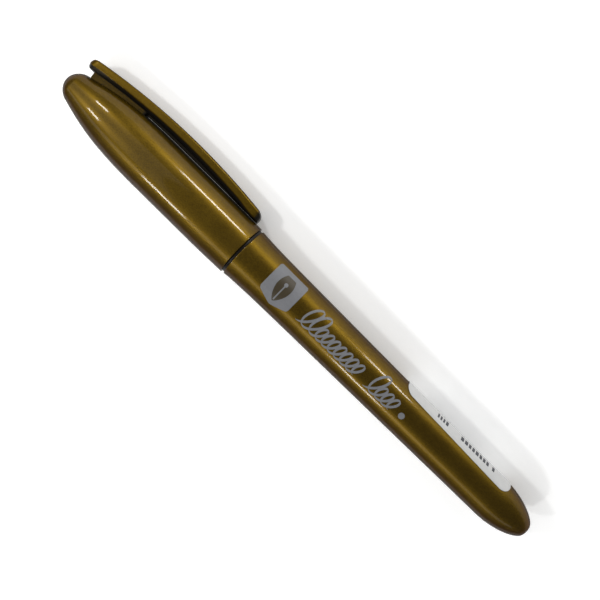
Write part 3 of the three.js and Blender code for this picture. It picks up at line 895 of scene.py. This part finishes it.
def clip():
    """The clip, one moulding: a crowned bar with its lower edges cut back, a foot let into the
    cap, and a stiffening rib behind it. The section, with every corner rounded, is carried along
    the cap."""
    depth = np.concatenate([
        CLIP_START + 1.9 * (1 - np.cos(np.linspace(0.02, np.pi / 2, 26))), np.linspace(3.4, 4.1, 26),
        np.linspace(4.2, 17.0, 52), np.linspace(17.1, 18.2, 28), np.linspace(18.4, 46.8, 90),
        CLIP_TIP - 3.2 * (1 - np.cos(np.linspace(np.pi / 2, 0.02, 30))),
    ])[:, None]
    x = NOSE - depth
    back = clip_back(x)
    front_end = eased((depth - CLIP_START) / 1.3)
    rear_end = CLIP_TIP - depth
    tip_low = CAP_RADIUS + CLIP_TIP_RISE
    top = tip_low + (back - tip_low) * eased(rear_end / 1.7) - 1.2 * (1 - front_end)
    rib_foot = cap_radius(depth) + 0.08 - 0.04 * smooth(depth, 40, 44)
    under = back - CLIP_THICK + 1.25 * (1 - front_end)
    under = np.maximum(under, np.where(depth < 16, 0, rib_foot + 0.03))
    face_share = 0.38 - 0.07 * smooth(depth, 4, 17) - 0.12 * smooth(depth, 44, 49)
    face_low = under + (top - under) * face_share
    half = CLIP_HALF - 1.7 * (1 - eased((depth - CLIP_START) / 1.9)) - 1.3 * (1 - eased(rear_end / 1.9))
    sole = np.where(depth < FOOT_END, cap_radius(depth) - 0.38, rib_foot)
    sole = sole + (rib_foot - sole) * smooth(depth, 17.35, 17.85)
    sole = under - 0.03 + (sole - under + 0.03) * smooth(depth, FOOT_FRONT - 0.15, FOOT_FRONT + 0.15)
    stem = FOOT_HALF - 0.5 * smooth(depth, 17.3, 17.9)
    stem = np.minimum(stem, half * 0.66 - 0.05)
    crown = 0.3 * (top - under) / CLIP_THICK
    side = [
        (0.35 * half, top - 0.12 * crown, 0.5), (0.7 * half, top - 0.49 * crown, 0.5),
        (0.95 * half, top - crown, 0.4), (half, face_low, 0.22), (half * 0.66, under, 0.2),
        (stem, under, 0.2), (stem, sole, 0.12),
    ]
    corners = [*side, *[(-wide, height, size) for wide, height, size in reversed(side)]]
    points = np.stack([np.concatenate([wide * np.ones_like(x), height * np.ones_like(x)], axis=1)
                       for wide, height, size in corners], axis=1)
    sizes = np.array([size for _, _, size in corners])[None, :, None]
    start = towards(points, np.roll(points, 1, axis=1), sizes)
    end = towards(points, np.roll(points, -1, axis=1), sizes)
    t = np.linspace(0, 1, 7)[None, None, :, None]
    section = parabola(start[:, :, None], points[:, :, None], end[:, :, None], t)
    section = section.reshape(len(x), -1, 2)
    wide, height = section[..., 0], section[..., 1]
    # Below its side face the clip shows bare black plastic, which also stands in as painted shade under
    # it.
    face = smooth(height, face_low - 0.3, face_low + 0.02)
    # Painted shade: the foot and web are only half gold.
    foot = smooth(height, under + 0.05, under - 0.1) * (1 - smooth(depth, 16.6, 17.7))
    # Painted shade: both ends of the clip fade to black.
    kept = smooth(depth, CLIP_START + 0.1, CLIP_START + 1.0) * smooth(rear_end, 0.5, 2.4)
    cover = np.maximum(face * (0.25 + 0.75 * kept), 0.5 * foot)
    made = lofted("clip_moulding", place(x, height, wide), cover=cover)
    finished(made, None, "gold_lacquer", CLIP_LACQUER, "clip_root", "clip_arm")
    bend_start = place(NOSE - FOOT_END - 0.3, 0, 0)
    bend_end = place(NOSE - FOOT_END - 9, 0, 0)
    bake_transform(made)


# ---- surroundings ----

def board():
    """The white board under the marker: one flat square. From low down its far edge shows."""
    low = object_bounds()[0][2]
    size = 3.0
    mesh = bpy.data.meshes.new("white_board")
    corners = [(-size, -size, low), (size, -size, low), (size, size, low), (-size, size, low)]
    mesh.from_pydata(corners, [], [(0, 1, 2, 3)])
    mesh.materials.append(pale_surface())
    made = bpy.data.objects.new("white_board", mesh)
    bpy.context.scene.collection.objects.link(made)


# Each soft box: its angle around the marker from the viewer's side towards the clip in degrees, its
# place along the marker, distance, length and width in millimetres, and its power in watts.
SOFT_BOXES = {
    "soft_box_low": (60, 60, 500, 1500, 110, 0.07),
    "soft_box_high": (-64, 60, 500, 1500, 120, 0.94),
    "tube_low_cap": (55, 165, 495, 88, 50, 0.8),
    "tube_low_barrel": (56, -38, 495, 48, 50, 0.48),
    "tube_high_cap": (-65, 206, 495, 46, 50, 0.4),
    "tube_high_barrel": (-63, -22, 495, 50, 50, 0.42),
    "nose_tube_low": (23, 500, 500, 110, 60, 1.2),
    "nose_tube_high": (-34, 500, 500, 110, 60, 1.2),
    "nose_box": (-12, 750, 650, 1000, 900, 2.4),
}


def strip_light(name, angle, x, distance, length, width, power):
    """A soft box parallel to the marker, at an angle around it from the viewer's side."""
    bulb = bpy.data.lights.new(name, "AREA")
    bulb.shape = "RECTANGLE"
    bulb.size = length * MM
    bulb.size_y = width * MM
    bulb.energy = power
    turn = np.radians(angle)
    outward = np.cos(turn) * TO_VIEWER + np.sin(turn) * TO_CLIP
    side = np.cross(outward, ALONG)
    made = bpy.data.objects.new(name, bulb)
    made.matrix_world = Matrix.Translation((x * ALONG + distance * outward) * MM) @ Matrix(
        np.column_stack([ALONG, side, outward]).tolist()
    ).to_4x4()
    bpy.context.scene.collection.objects.link(made)


def lighting():
    """A pale room, a long soft box on each side with short bright tubes in it, and soft light
    from beyond the nose."""
    world = bpy.data.worlds.new("room")
    world.use_nodes = True
    sky = world.node_tree.nodes["Background"]
    sky.inputs["Color"].default_value = tint("#ebecee")
    sky.inputs["Strength"].default_value = 0.24
    bpy.context.scene.world = world
    for name, numbers in SOFT_BOXES.items():
        strip_light(name, *numbers)


camera()
barrel()
badge()
script()
label()
front_section()
nib()
valve()
valve_spring()
mixing_ball()
cap_shell()
inner_cap()
clip()
board()
lighting()
bpy.context.scene.view_settings.view_transform = "Standard"
